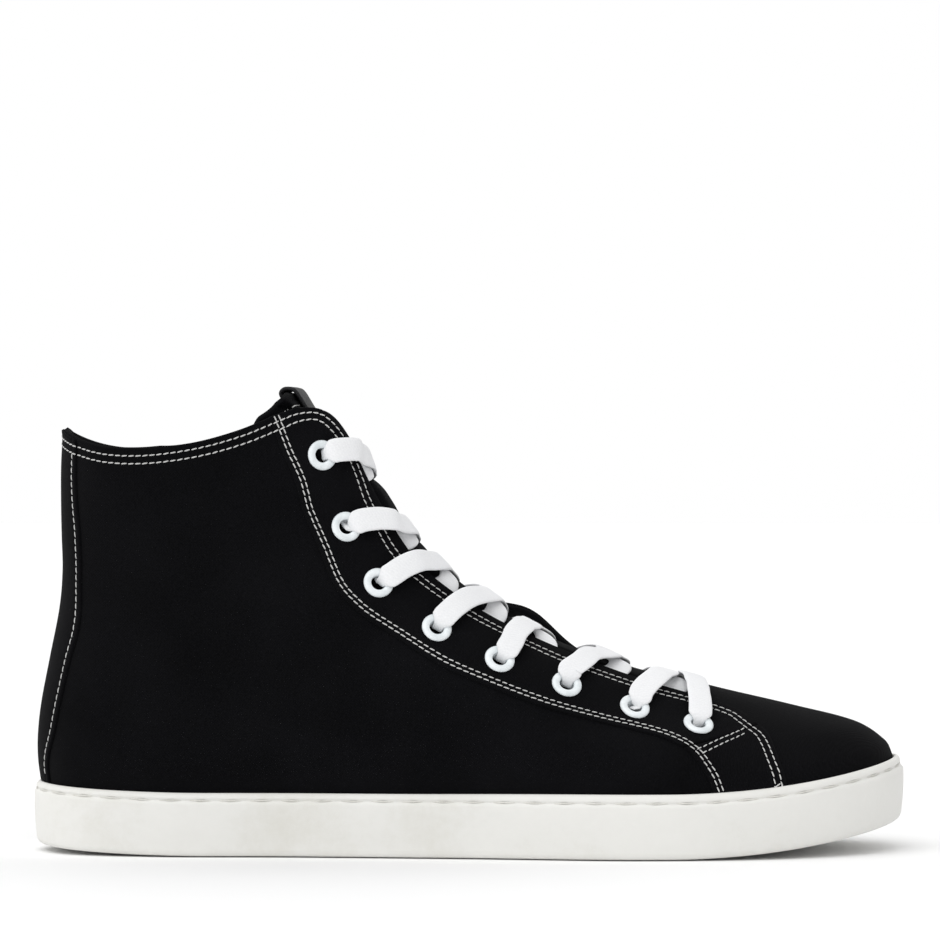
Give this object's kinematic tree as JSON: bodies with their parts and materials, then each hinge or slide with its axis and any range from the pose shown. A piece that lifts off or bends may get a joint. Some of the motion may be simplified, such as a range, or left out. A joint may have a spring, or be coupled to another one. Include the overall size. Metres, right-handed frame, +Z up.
{
  "type": "high top sneaker",
  "caption": "High top canvas sneaker with a white rubber cup sole, white flat laces through metal eyelets, and a pull loop on its tongue.",
  "frame": {"origin": "middle of the shoe's plan box, on the ground under its sole", "axes": "+X along the shoe from the heel to the toe, +Z up, -Y to the outer side of the foot"},
  "size_m": [0.3, 0.1042, 0.1591],
  "materials": {
    "rubber": "satin off-white moulded rubber",
    "lining": "matte black lining cloth",
    "canvas": "matte black plain weave canvas",
    "tape": "soft satin black woven tape",
    "lace": "matte white flat woven lace",
    "enamel": "smooth white enamel"
  },
  "bodies": {
    "root": {"cupsole": "rubber", "insole": "lining", "upper": "canvas", "tongue": "canvas", "pull_loop": "tape", "heel_strip": "canvas", "eyestay_lateral": "canvas", "side_patch_lateral": "canvas", "eyelet_lateral_1": "enamel", "eyelet_lateral_2": "enamel", "eyelet_lateral_3": "enamel", "eyelet_lateral_4": "enamel", "eyelet_lateral_5": "enamel", "eyelet_lateral_6": "enamel", "eyelet_lateral_7": "enamel", "eyelet_lateral_8": "enamel", "eyestay_medial": "canvas", "side_patch_medial": "canvas", "eyelet_medial_1": "enamel", "eyelet_medial_2": "enamel", "eyelet_medial_3": "enamel", "eyelet_medial_4": "enamel", "eyelet_medial_5": "enamel", "eyelet_medial_6": "enamel", "eyelet_medial_7": "enamel", "eyelet_medial_8": "enamel", "lace_cross_1": "lace", "lace_cross_2": "lace", "lace_cross_3": "lace", "lace_cross_4": "lace", "lace_cross_5": "lace", "lace_cross_6": "lace", "lace_cross_7": "lace", "lace_bar": "lace"}
  },
  "joints": []
}
